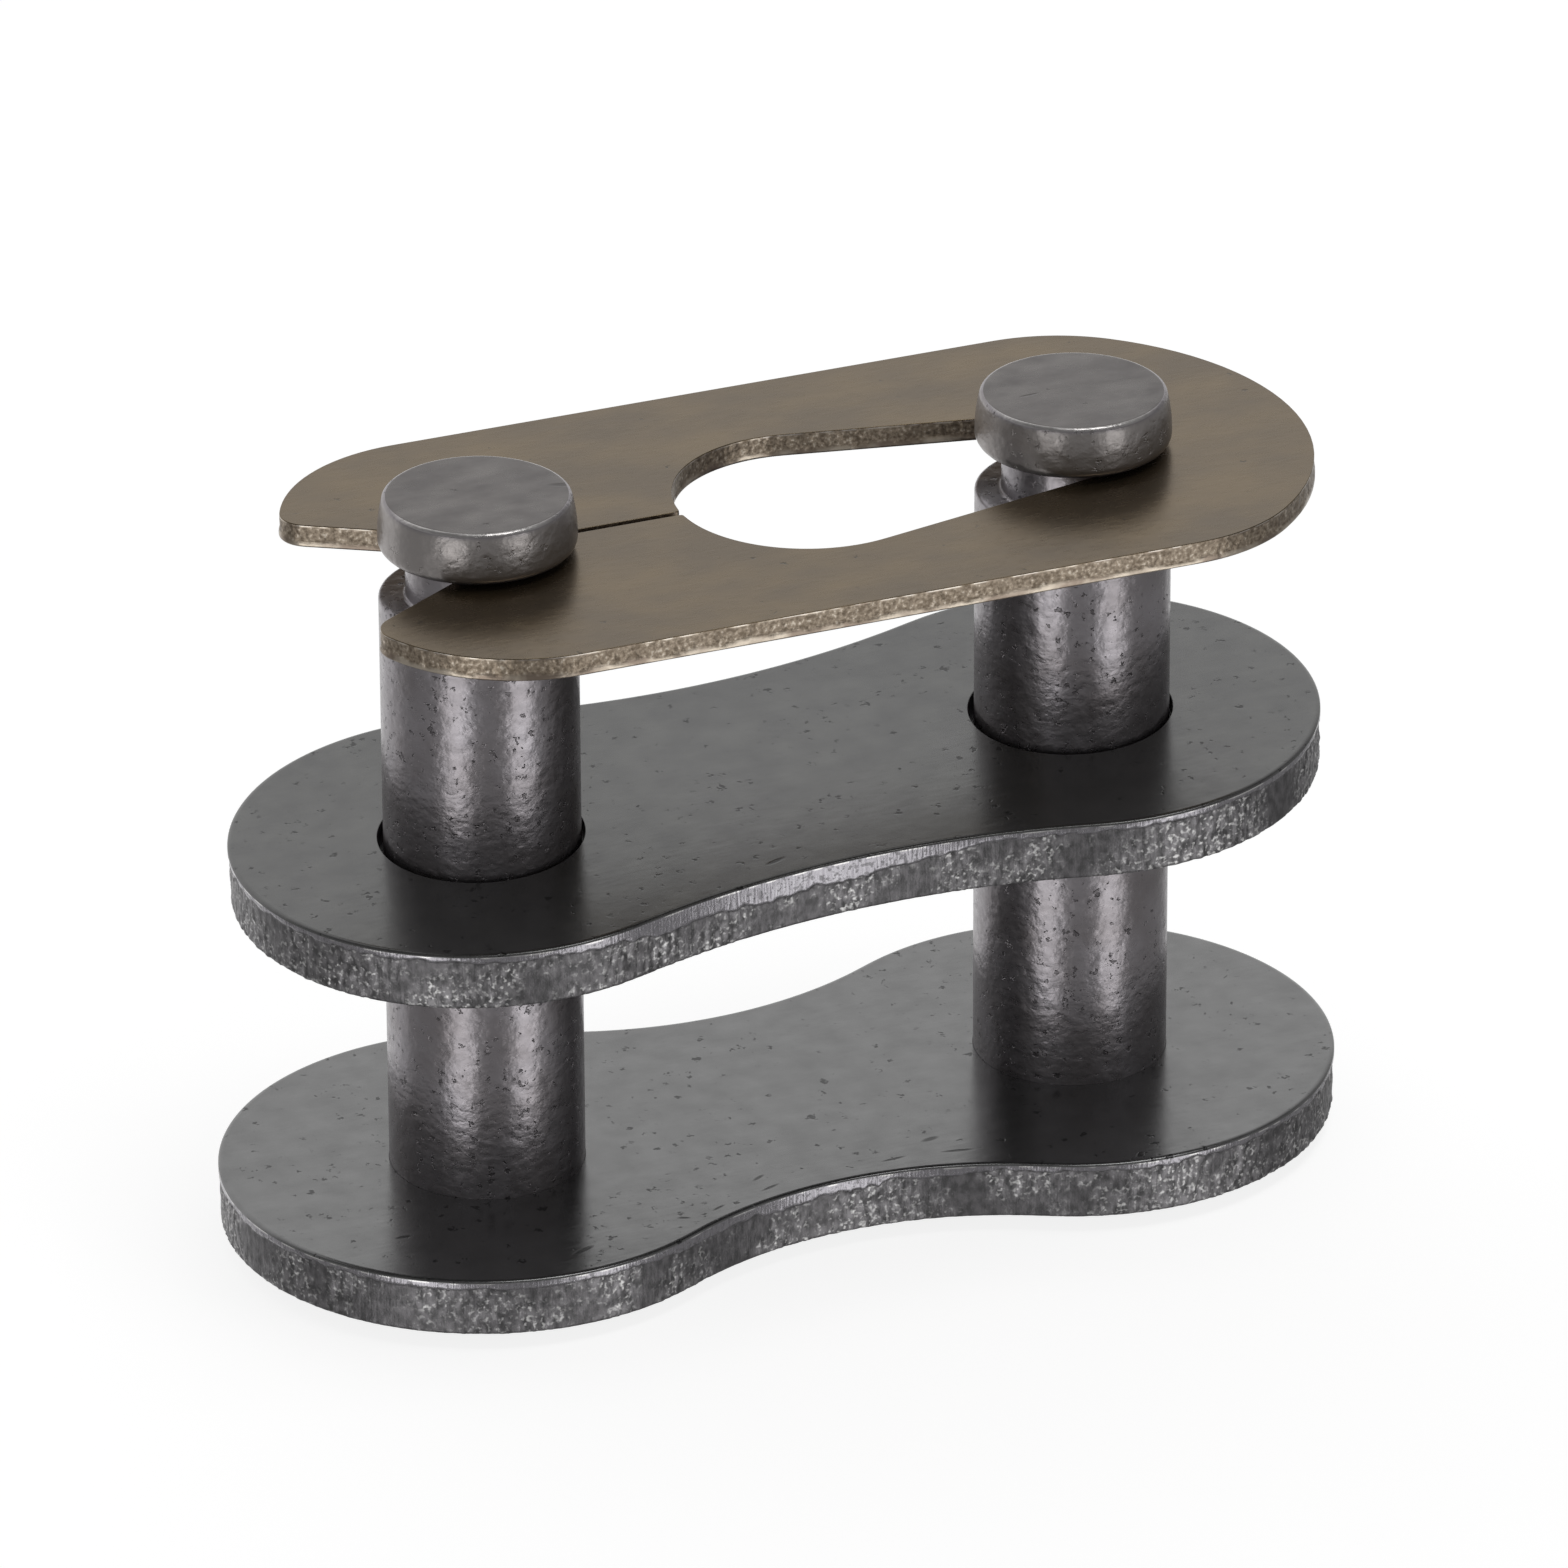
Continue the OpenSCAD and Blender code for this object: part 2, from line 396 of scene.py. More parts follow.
def sheared_plate_steel():
    """Blanked edge of the plates. Its polish is 1 where the die burnished it, bright with
    upright drag lines, and 2 where a near white highlight is painted on it. Where the metal
    tore, polish falls from 0 for a dull smooth tear to -1 for a lumpy one whose grains carry
    painted glints. Real drag lines and grains are under 0.05 mm, too fine to show, so they
    are drawn coarser."""
    material, tree = start_material("sheared_plate_steel")
    # The wall's own coordinates are in millimetres, along its outline and up
    wall = add(tree, "UVMap", uv_map="wall")
    polish_and_highlight = add(tree, "Attribute", output="Fac", attribute_name="polish_and_highlight")
    place = add(tree, "TexCoord", output="Object")
    drag = add(tree, "Mapping", {"Vector": wall, "Scale": (1, 0.1, 1)})
    drag = add(tree, "TexNoise", {"Vector": drag, "Scale": 1 / 0.08, "Detail": 3.0})
    lines = add(tree, "MapRange", {"Value": drag, **NOISE_SPAN})
    burnished = add(tree, "Mix", {0: lines, 6: "858287", 7: "a09ea2"}, 2, data_type="RGBA")
    lumps = add(tree, "Mapping", {"Vector": wall, "Scale": (1, 0.6, 1)})
    lumps = add(tree, "TexNoise", {"Vector": lumps, "Scale": 1 / 0.24, "Detail": 5.0})
    lumps = add(tree, "MapRange", {"Value": lumps, "From Min": 0.38, "From Max": 0.62})
    dull = add(tree, "Mix", {0: lumps, 6: "555455", 7: "706e70"}, 2, data_type="RGBA")
    lumpy = add(tree, "Mix", {0: lumps, 6: "555455", 7: "8c8a8c"}, 2, data_type="RGBA")
    grains = add(tree, "TexNoise", {"Vector": place, "Scale": per_mm(0.13), "Detail": 1.0})
    # Near white glints are painted on the grains of a lumpy tear
    painted_glints = add(tree, "MapRange", {"Value": grains, "From Min": 0.54, "From Max": 0.74})
    lumpy = add(tree, "Mix", {0: painted_glints, 6: lumpy, 7: "dcdbda"}, 2, data_type="RGBA")
    rugged = add(tree, "MapRange", {"Value": polish_and_highlight, "From Min": 0.0, "From Max": -1.0})
    torn = add(tree, "Mix", {0: rugged, 6: dull, 7: lumpy}, 2, data_type="RGBA")
    chips = add(tree, "MapRange", {
        "Value": grains, "From Min": 0.54, "From Max": 0.64, "To Max": 0.5})
    shine = add(tree, "Math", {0: polish_and_highlight, 1: chips}, operation="SUBTRACT", use_clamp=True)
    tint = add(tree, "Mix", {0: shine, 6: torn, 7: burnished}, 2, data_type="RGBA")
    # A near white highlight is painted along the top of the wall, in places
    rubbed_and_highlight = add(tree, "MapRange", {"Value": polish_and_highlight, "From Min": 1.2, "From Max": 1.8})
    tint = add(tree, "Mix", {0: rubbed_and_highlight, 6: tint, 7: "d4d2d1"}, 2, data_type="RGBA")
    rough = add(tree, "MapRange", {"Value": shine, "To Min": 0.46, "To Max": 0.24})
    fine = add(tree, "TexNoise", {"Vector": place, "Scale": per_mm(0.07), "Detail": 2.0})
    share = add(tree, "MapRange", {"Value": shine, "To Min": 1.0, "To Max": 0.1})
    height = add(tree, "Math", {0: fine, 1: share, 2: drag}, operation="MULTIPLY_ADD")
    metal(tree, tint, rough, height, depth=0.01)
    return material


def ground_pin_steel():
    """Hardened pin steel, ground and tumbled: a semi-gloss grey with a lavender cast. Soft
    dents, faint marks round the pin and clustered pits break up its highlights. Its polish is
    1 where a near white highlight is painted on the head's rim, and -1 on the head's duller,
    paler side. Real grinding marks are too fine to show, so they are drawn coarser."""
    material, tree = start_material("ground_pin_steel")
    place = add(tree, "TexCoord", output="Object")
    smudge = add(tree, "TexNoise", {"Vector": place, "Scale": per_mm(1.6), "Detail": 5.0})
    smudge = add(tree, "MapRange", {"Value": smudge, **NOISE_SPAN})
    tint = add(tree, "Mix", {0: smudge, 6: "847f81", 7: "989498"}, 2, data_type="RGBA")
    clusters = {0: pits(tree, place, 0.24, 0.1), 1: patches(tree, place, 1.6, 0.38, 0.5)}
    clusters = add(tree, "Math", clusters, operation="MULTIPLY")
    holes = add(tree, "Math", {0: clusters, 1: pits(tree, place, 0.55, 0.13)}, operation="MAXIMUM")
    share = add(tree, "Math", {0: holes, 1: PIN_PIT_SHARE}, operation="MULTIPLY")
    tint = add(tree, "Mix", {0: share, 6: tint, 7: "3c393a"}, 2, data_type="RGBA")
    polish_and_highlight = add(tree, "Attribute", output="Fac", attribute_name="polish_and_highlight")
    # A near white highlight is painted on the head's rim
    wear_and_highlight = add(tree, "MapRange", {"Value": polish_and_highlight})
    tint = add(tree, "Mix", {0: wear_and_highlight, 6: tint, 7: "d6d3d1"}, 2, data_type="RGBA")
    matt = add(tree, "MapRange", {"Value": polish_and_highlight, "From Min": 0.0, "From Max": -1.0})
    tint = add(tree, "Mix", {0: matt, 6: tint, 7: "9d9896"}, 2, data_type="RGBA")
    marks = add(tree, "Mapping", {"Vector": place, "Scale": (0.7, 0.7, 1)})
    marks = add(tree, "TexNoise", {"Vector": marks, "Scale": per_mm(0.2), "Detail": 2.0})
    rough = add(tree, "MapRange", {
        "Value": marks, **NOISE_SPAN, "To Min": 0.26, "To Max": 0.35})
    rough = add(tree, "Math", {0: matt, 1: HEAD_SIDE_ROUGHER, 2: rough}, operation="MULTIPLY_ADD")
    dents = add(tree, "TexNoise", {"Vector": place, "Scale": per_mm(0.55), "Detail": 3.0})
    height = add(tree, "Math", {0: marks, 1: MARK_RELIEF, 2: dents}, operation="MULTIPLY_ADD")
    height = add(tree, "Math", {0: holes, 1: PIN_PIT_RELIEF, 2: height}, operation="MULTIPLY_ADD")
    metal(tree, tint, rough, height, depth=0.032)
    return material


def pressed_head_steel():
    """Flat end face of the pins: duller than the ground sides, with smudges and faint dents."""
    material, tree = start_material("pressed_head_steel")
    place = add(tree, "TexCoord", output="Object")
    smudge = add(tree, "Mapping", {"Vector": place, "Scale": (0.5, 1, 1)})
    smudge = add(tree, "TexNoise", {"Vector": smudge, "Scale": per_mm(0.8), "Detail": 6.0})
    smudge = add(tree, "MapRange", {"Value": smudge, **NOISE_SPAN})
    tint = add(tree, "Mix", {0: smudge, 6: "585453", 7: "6f6b69"}, 2, data_type="RGBA")
    holes = pits(tree, place, 0.7, 0.1)
    for mark in HEAD_SCARS:
        holes = add(tree, "Math", {0: holes, 1: scar(tree, place, *mark)}, operation="MAXIMUM")
    share = add(tree, "Math", {0: holes, 1: PIN_PIT_SHARE}, operation="MULTIPLY")
    tint = add(tree, "Mix", {0: share, 6: tint, 7: "403d3b"}, 2, data_type="RGBA")
    dents = add(tree, "TexNoise", {"Vector": place, "Scale": per_mm(0.6), "Detail": 3.0})
    rough = add(tree, "MapRange", {
        "Value": dents, **NOISE_SPAN, "To Min": 0.24, "To Max": 0.34})
    height = add(tree, "Math", {0: dents, 1: holes}, operation="SUBTRACT")
    metal(tree, tint, rough, height, depth=0.006)
    return material


def bronzed_spring_steel():
    """Tempered spring strip with a bronze brown oxide: satin, with paler rubbed patches, a
    few darker specks and rolling streaks along X, which are drawn coarser than real ones so
    that they show."""
    material, tree = start_material("bronzed_spring_steel")
    place = add(tree, "TexCoord", output="Object")
    rubbed_and_highlight = add(tree, "Mapping", {"Vector": place, "Scale": (0.6, 1, 1)})
    rubbed_and_highlight = add(tree, "TexNoise", {"Vector": rubbed_and_highlight, "Scale": per_mm(1.8), "Detail": 6.0})
    rubbed_and_highlight = add(tree, "MapRange", {"Value": rubbed_and_highlight, "From Min": 0.35, "From Max": 0.68})
    tint = add(tree, "Mix", {0: rubbed_and_highlight, 6: "675b4b", 7: "74654f"}, 2, data_type="RGBA")
    rolled = add(tree, "Mapping", {"Vector": place, "Scale": (0.3, 1, 1)})
    rolled = add(tree, "TexNoise", {"Vector": rolled, "Scale": per_mm(0.15), "Detail": 3.0})
    rough = add(tree, "MapRange", {
        "Value": rolled, **NOISE_SPAN, "To Min": 0.22, "To Max": 0.29})
    specks = {0: pits(tree, place, 0.7, 0.12), 1: patches(tree, place, 2.5, 0.42, 0.55)}
    specks = add(tree, "Math", specks, operation="MULTIPLY")
    tint = add(tree, "Mix", {0: specks, 6: tint, 7: "4a4236"}, 2, data_type="RGBA")
    height = add(tree, "Math", {0: rolled, 1: specks}, operation="SUBTRACT")
    metal(tree, tint, rough, height, depth=0.003)
    return material


def sheared_spring_steel():
    """Blanked edge of the clip: torn, beige and granular, with painted glints on its grains.
    Where polish is 1 it is a smooth pale lip, and where it is 2 a near white highlight is
    painted on it. The grains are drawn coarser than real ones so that they show."""
    material, tree = start_material("sheared_spring_steel")
    place = add(tree, "TexCoord", output="Object")
    polish_and_highlight = add(tree, "Attribute", output="Fac", attribute_name="polish_and_highlight")
    grains = add(tree, "TexNoise", {"Vector": place, "Scale": per_mm(0.12), "Detail": 2.0})
    mid = add(tree, "MapRange", {"Value": grains, "From Min": 0.35, "From Max": 0.6})
    torn = add(tree, "Mix", {0: mid, 6: "6e6254", 7: "998c7c"}, 2, data_type="RGBA")
    # Pale glints are painted on the grains
    painted_glints = add(tree, "MapRange", {"Value": grains, "From Min": 0.6, "From Max": 0.72})
    torn = add(tree, "Mix", {0: painted_glints, 6: torn, 7: "c4b9aa"}, 2, data_type="RGBA")
    wear_and_highlight = patches(tree, place, 1.0, 0.42, 0.58)
    lip = add(tree, "Mix", {0: wear_and_highlight, 6: "84776b", 7: "b9ae9f"}, 2, data_type="RGBA")
    smooth = add(tree, "MapRange", {"Value": polish_and_highlight})
    tint = add(tree, "Mix", {0: smooth, 6: torn, 7: lip}, 2, data_type="RGBA")
    # A near white highlight is painted along the top edge, in places
    rubbed_and_highlight = add(tree, "MapRange", {"Value": polish_and_highlight, "From Min": 1.0, "From Max": 2.0})
    tint = add(tree, "Mix", {0: rubbed_and_highlight, 6: tint, 7: "dad4cc"}, 2, data_type="RGBA")
    rough = add(tree, "MapRange", {"Value": polish_and_highlight, "To Min": 0.42, "To Max": 0.28})
    fine = add(tree, "TexNoise", {"Vector": place, "Scale": per_mm(0.08), "Detail": 2.0})
    share = add(tree, "MapRange", {"Value": polish_and_highlight, "To Min": 1.0, "To Max": 0.2})
    height = add(tree, "Math", {0: fine, 1: share}, operation="MULTIPLY")
    metal(tree, tint, rough, height, depth=0.012)
    return material


# Link plates, in millimetres

# Passes that smooth the outline, whose arcs are coarse in the frame's mesh
PLATE_EASE = 30
# Width and height of the rolled top edge
PLATE_ROLL_W = 0.15
PLATE_ROLL_H = 0.08
# How far the edge of the underside is broken inwards
PLATE_FOOT_IN = 0.04
# Depth of the burnished band's foot below the top face: at the round ends of both plates,
# and at the waist of each
LAND_AT_ENDS = 0.24
PIN_PLATE_LAND = 0.34
COVER_PLATE_LAND = 0.62
# The band is deepest at this place along the link, and narrows between two distances from it
LAND_MIDDLE = -2.4
LAND_FROM = 3.5
LAND_TO = 7.0
# Height over which the band's foot fades out
LAND_FADE = 0.05
# The foot's scallops: height, length and the mean of their noise
SCALLOP_H = 0.3
SCALLOP_L = 0.6
SCALLOP_MEAN = 0.2
# The foot's slower waves, and the share of scallops and waves that is left at the round ends
WAVE_H = 0.15
WAVE_L = 1.7
FOOT_AT_ENDS = 0.5
# Below the rolled edge a near white highlight is painted on the band in places. The painted
# highlight is whole down to the first depth and gone at the second. Then the length of the
# places, and the two levels between which their noise turns the painted highlight on
EDGE_HIGHLIGHT_TO = 0.01
EDGE_HIGHLIGHT_GONE = 0.07
EDGE_HIGHLIGHT_L = 0.45
EDGE_HIGHLIGHT_CUT = (-0.1, 0.2)
# Distances from the middle of the link between which the tears grow rugged, with more
# painted glints
CALM_WITHIN = 4.5
RUGGED_FROM = 9.0
# Patches of rugged tear: their length and height, and the share and length of their detail
RUGGED_L = 1.3
RUGGED_H = 1.8
DETAIL_SHARE = 0.5
DETAIL_L = 0.35
# Noise between these two levels turns a calm tear rugged, and how much lower they lie at the
# round ends
RUGGED_CUT = (-0.15, 0.5)
CUT_DROP = (0.3, 0.15)
# How far the torn wall lies behind the burnished band
TEAR_DEPTH = 0.05
# Its lumps and grains: how far they stand out, how long they are along the wall, and the
# share of them that a calm tear keeps. Real grains are under 0.05 mm, too fine to show, so
# they are drawn coarser
LUMP_OUT = 0.035
LUMP_L = 0.2
LUMP_TALL = 0.5
LUMP_CALM = 0.25
GRAIN_OUT = 0.018
GRAIN_L = 0.085
GRAIN_CALM = 0.3
# How far the rims of the holes are eased
HOLE_EASE = 0.03


def plate_rows(thickness):
    """Section of a plate's blanked wall, from its underside to its top face."""
    foot = thickness - PLATE_ROLL_H
    count = round(foot / SPACING)
    rows = [(0.0, PLATE_FOOT_IN, WALL)]
    rows += [(foot * step / count, 0.0, WALL) for step in range(1, count + 1)]
    return rows + rolled_rows(foot, PLATE_ROLL_W, PLATE_ROLL_H)


def plate_relief(thickness, land_at_waist):
    """How a plate's blanked wall stands out and shines: tears under a burnished band whose
    foot is scalloped and whose top has a painted highlight in places."""
    def relief(spot, height):
        plan = Vector((spot.x, spot.y, 0))
        depth = thickness - height
        waist = level(abs(spot.x - LAND_MIDDLE), LAND_TO, LAND_FROM)
        scallop = SCALLOP_H * (abs(noise.noise(plan / SCALLOP_L)) - SCALLOP_MEAN)
        scallop += WAVE_H * noise.noise(plan / WAVE_L)
        foot = LAND_AT_ENDS + (land_at_waist - LAND_AT_ENDS) * waist
        foot -= scallop * (FOOT_AT_ENDS + (1 - FOOT_AT_ENDS) * waist)
        shine = level(depth, foot + LAND_FADE, foot)
        # A near white highlight is painted below the rolled edge, in places
        edge = level(depth, PLATE_ROLL_H + EDGE_HIGHLIGHT_GONE, PLATE_ROLL_H + EDGE_HIGHLIGHT_TO)
        rubbed_and_highlight = edge * level(noise.noise(spot / EDGE_HIGHLIGHT_L), *EDGE_HIGHLIGHT_CUT)
        ends = level(abs(spot.x), CALM_WITHIN, RUGGED_FROM)
        broad = noise.noise(Vector((spot.x / RUGGED_L, spot.y / RUGGED_L, spot.z / RUGGED_H)))
        broad += DETAIL_SHARE * noise.noise(spot / DETAIL_L)
        low, high = (cut - drop * ends for cut, drop in zip(RUGGED_CUT, CUT_DROP))
        rugged = level(broad, low, high)
        lumps = noise.noise(Vector((spot.x / LUMP_L, spot.y / LUMP_L, spot.z / LUMP_TALL)))
        grains = noise.noise(spot / GRAIN_L)
        tear = TEAR_DEPTH + LUMP_OUT * (LUMP_CALM + rugged) * lumps
        tear += GRAIN_OUT * (GRAIN_CALM + rugged) * grains
        return -(1 - shine) * tear, shine + rubbed_and_highlight - (1 - shine) * rugged
    return relief


def plain(_spot, _height):
    """A wall that is flush and has no polish."""
    return 0.0, 0.0


def hole_rows(thickness):
    """Section of a plain hole with both rims eased."""
    top = thickness - HOLE_EASE
    rows = [(0.0, HOLE_EASE, WALL), (HOLE_EASE, 0.0, WALL), (top, 0.0, WALL)]
    return rows + rolled_rows(top, HOLE_EASE, HOLE_EASE)


def link_plate(name, node, body, land_at_waist, materials):
    """One plate. The depth of its burnished band's foot at the waist is in millimetres."""
    bm = merged_copy(node)
    thickness, turn_back = lay_level(bm)
    keep_outlines(bm)
    divide(bm, SPACING)
    ease(bm, PLATE_EASE)
    rings = rings_of(bm)
    relief = plate_relief(thickness, land_at_waist)
    tops = [build_wall(bm, rings[0], plate_rows(thickness), relief)]
    tops += [build_wall(bm, ring, hole_rows(thickness), plain) for ring in rings[1:]]
    cap(bm, rings)
    cap(bm, tops)
    bmesh.ops.rotate(bm, cent=(0, 0, 0), matrix=turn_back, verts=bm.verts)
    finish_piece(bm, name, body, node, materials)


# Pins, in millimetres

# Radii of the pin and of its neck, and heights of the groove and of the head
PIN_R = 2.95
NECK_R = 2.15
GROOVE_H = 1.5
HEAD_H = 1.65
# The riveted end: a shallow dish inside the ring that it stands on, then a side between two
# heights
DISH_R = 2.2
DISH_DEPTH = 0.08
RIVET_FOOT_R = 2.45
RIVET_R = 3.14
RIVET_SIDE_FROM = 0.2
RIVET_H = 0.5
# Roundings of the riveted end, of the groove's lower edge and of the neck's two ends
RIVET_ROUND = 0.15
SHOULDER_ROUND = 0.12
NECK_ROUND = 0.1
# Roundings of the head's lower rim and of its upper edge
HEAD_RIM = 0.35
HEAD_EDGE = 0.12
# Height of the barrel shaped part of the head's side, and how far it draws in at the top
BARREL_H = 1.25
BARREL_IN = 0.16
# Direction in plan towards the camera, along which a near white highlight is painted on
# the heads' rims, on their near and far sides, and the distances from the pin's middle that
# way at which the painted highlight starts and is whole
RIM_HIGHLIGHT_WAY = Vector((0.375, 0.927))
RIM_HIGHLIGHT_FROM = 0.9
RIM_HIGHLIGHT_WHOLE = 2.2
# Depths below the head's top at which the rim's painted highlight ends and is whole, and
# the width over which it fades on the flat end
RIM_HIGHLIGHT_END_DEPTH = 0.14
RIM_HIGHLIGHT_WHOLE_DEPTH = 0.08
RIM_HIGHLIGHT_FADE = 0.08
# Height above the groove over which the head's side turns paler
SIDE_FADE = 0.2


def hold_ends(bm, edge):
    """Adds a vertex near each end of a straight part of a section."""
    ends = [vert.co.copy() for vert in edge.verts]
    made = bmesh.ops.subdivide_edges(bm, edges=[edge], cuts=2)["geom_inner"]
    for vert in [item for item in made if isinstance(item, bmesh.types.BMVert)]:
        near, far = sorted(ends, key=lambda end: (end - vert.co).length)
        vert.co = near + (far - near).normalized() * HOLD


def turned(points):
    """Spins a half section round Z. Each point is (radius, height, rounding)."""
    bm = bmesh.new()
    bm.verts.layers.float.new("polish_and_highlight")
    verts = [bm.verts.new((radius, 0, height)) for radius, height, _ in points]
    for pair in zip(verts, verts[1:]):
        bm.edges.new(pair)
    for vert, (_, _, rounding) in zip(verts, points):
        if rounding:
            bmesh.ops.bevel(bm, geom=[vert], offset=rounding, offset_type="OFFSET",
                            segments=ROUNDING_STEPS, profile=0.5, affect="VERTICES", material=-1)
    for edge in [edge for edge in bm.edges if edge.calc_length() > 4 * HOLD]:
        hold_ends(bm, edge)
    bmesh.ops.spin(bm, geom=bm.verts[:] + bm.edges[:], cent=(0, 0, 0), axis=(0, 0, 1),
                   angle=math.tau, steps=TURNED_STEPS, use_merge=True)
    bmesh.ops.remove_doubles(bm, verts=bm.verts, dist=WELD / 4)
    bmesh.ops.recalc_face_normals(bm, faces=bm.faces)
    return bm


def head_side(top):
    """Points up the barrel shaped side of a head, whose radius shrinks as a parabola."""
    points = []
    for step in range(1, ARC_STEPS + 1):
        share = step / ARC_STEPS
        radius = PIN_R - BARREL_IN * share ** 2
        points.append((radius, top - BARREL_H * (1 - share), HEAD_EDGE if share == 1 else 0))
    return points


def chain_pin(name, node, materials):
    """One pin: riveted end, bearing length, groove and head, turned in one piece. The flat
    end of the head has the second material."""
    low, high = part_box(node)
    centre = (low + high) / 2 / MM
    top = high.z / MM
    under_head = top - HEAD_H
    shoulder = under_head - GROOVE_H
    points = [
        (0, DISH_DEPTH, 0),
        (DISH_R, DISH_DEPTH, 0),
        (RIVET_FOOT_R, 0, RIVET_ROUND),
        (RIVET_R, RIVET_SIDE_FROM, RIVET_ROUND),
        (RIVET_R, RIVET_H, 0),
        (PIN_R, RIVET_H, 0),
        (PIN_R, shoulder, SHOULDER_ROUND),
        (NECK_R, shoulder, NECK_ROUND),
        (NECK_R, under_head, NECK_ROUND),
        (PIN_R, under_head, HEAD_RIM),
        (PIN_R, top - BARREL_H, 0)]
    bm = turned(points + head_side(top) + [(0, top, 0)])
    polish_and_highlight = bm.verts.layers.float["polish_and_highlight"]
    rim = PIN_R - BARREL_IN - HEAD_EDGE
    for vert in bm.verts:
        plan = vert.co.xy
        height = vert.co.z
        # A near white highlight is painted on the rim, on its near and far sides to the camera
        wear_and_highlight = level(abs(plan.dot(RIM_HIGHLIGHT_WAY)), RIM_HIGHLIGHT_FROM, RIM_HIGHLIGHT_WHOLE)
        upper = level(height, top - RIM_HIGHLIGHT_END_DEPTH, top - RIM_HIGHLIGHT_WHOLE_DEPTH)
        wear_and_highlight *= upper * level(plan.length, rim - RIM_HIGHLIGHT_FADE, rim)
        side = level(height, under_head, under_head + SIDE_FADE)
        vert[polish_and_highlight] = wear_and_highlight - side * level(height, top, top - RIM_HIGHLIGHT_END_DEPTH)
    for face in bm.faces:
        face.smooth = True
        at_top = face.calc_center_median().z > top - WELD
        face.material_index = int(face.normal.z > FACING and at_top)
    bmesh.ops.translate(bm, vec=(centre.x, centre.y, 0), verts=bm.verts)
    finish_piece(bm, name, "pin_link", node, materials)


# Spring clip, in millimetres

CLIP_EASE = 6
# Width and height of the rolled top edge
CLIP_ROLL = 0.025
# The broken edge of the underside: its inset, and the height and inset at which it ends
CLIP_FOOT_IN = 0.06
CLIP_FOOT_H = 0.03
CLIP_FOOT_END = 0.005
# Mean height of the smooth lip at the foot of the clip's wall, and how far it stands out
CLIP_LIP = 0.14
CLIP_LIP_OUT = 0.03
# Height over which the lip ends, and height and length of its waves and of its ripples
LIP_FADE = 0.04
LIP_WAVE_H = 0.13
LIP_WAVE_L = 0.9
LIP_RIPPLE_H = 0.05
LIP_RIPPLE_L = 0.3
# The top edge has a painted highlight in places, as the plates' bands have, with the same
# four measures
CLIP_HIGHLIGHT_TO = 0.03
CLIP_HIGHLIGHT_GONE = 0.09
CLIP_HIGHLIGHT_L = 0.4
CLIP_HIGHLIGHT_CUT = (-0.35, 0.1)
# The torn edge's grains: how far they stand out, the length of the coarse ones, the length
# and share of the fine ones, and how far the whole is set back, as a share of the first
CLIP_GRAIN_OUT = 0.018
CLIP_COARSE_L = 0.25
CLIP_FINE_L = 0.1
CLIP_FINE_SHARE = 0.7
CLIP_GRAIN_BACK = 0.4


def clip_rows(thickness):
    """Section of the clip's blanked wall, from its underside to its top face."""
    foot = thickness - CLIP_ROLL
    count = round(foot / SPACING)
    rows = [(0.0, CLIP_FOOT_IN, WALL), (CLIP_FOOT_H, CLIP_LIP_OUT + CLIP_FOOT_END, WALL)]
    rows += [(foot * step / count, CLIP_LIP_OUT, WALL) for step in range(1, count + 1)]
    return rows + rolled_rows(foot, CLIP_ROLL, CLIP_ROLL, CLIP_LIP_OUT)


def clip_relief(thickness):
    """How the clip's blanked wall stands out and shines: grains over a wavy smooth lip, and a
    top edge with a painted highlight in places."""
    def relief(spot, height):
        plan = Vector((spot.x, spot.y, 0))
        lip = CLIP_LIP + LIP_WAVE_H * noise.noise(plan / LIP_WAVE_L)
        lip += LIP_RIPPLE_H * noise.noise(plan / LIP_RIPPLE_L)
        shine = level(height, lip + LIP_FADE, lip)
        # A highlight is painted along the top edge, in places
        edge = level(height, thickness - CLIP_HIGHLIGHT_GONE, thickness - CLIP_HIGHLIGHT_TO)
        rubbed_and_highlight = edge * level(noise.noise(spot / CLIP_HIGHLIGHT_L), *CLIP_HIGHLIGHT_CUT)
        grains = CLIP_FINE_SHARE * noise.noise(spot / CLIP_FINE_L)
        grains += noise.noise(spot / CLIP_COARSE_L) - CLIP_GRAIN_BACK
        torn = (1 - shine) * (1 - edge) * CLIP_GRAIN_OUT * grains
        return shine * CLIP_LIP_OUT + torn, max(shine, 2 * rubbed_and_highlight)
    return relief


def spring_clip(materials):
    """The clip, whose walls all have the blanked edge."""
    bm = merged_copy("spring_clip")
    thickness, _ = lay_level(bm)
    keep_outlines(bm)
    divide(bm, SPACING)
    ease(bm, CLIP_EASE)
    rings = rings_of(bm)
    tops = [build_wall(bm, ring, clip_rows(thickness), clip_relief(thickness)) for ring in rings]
    cap(bm, rings)
    cap(bm, tops)
    finish_piece(bm, "snap_clip", "clip", "spring_clip", materials)


# Studio

# Camera, fitted to the outlines in the photo. Sensor and lens are in millimetres
CAMERA_PLACE = Vector((-130.5, -321.6, 184.7)) * MM
CAMERA_TURN = math.radians(-22.11)
CAMERA_LOOKS_DOWN = math.radians(26.34)
CAMERA_ROLL = math.radians(-0.26)
CAMERA_LENS = 296.9
CAMERA_SENSOR = 36
# Brightness of the room in front of the link and of its ceiling, where 1 is white
ROOM_LEVEL = 0.32
CEILING_LEVEL = 0.12
# The room turns into its ceiling between two heights of a direction of length 1
CEILING_FROM = 0.5
CEILING_WHOLE = 0.8
# Middle of the white background, counted in degrees from the camera to the right, and the
# cosines of the angles from it at which the white starts and is whole
BACKGROUND_AZIMUTH = -158
WHITE_FROM = 0.3
WHITE_WHOLE = 0.85
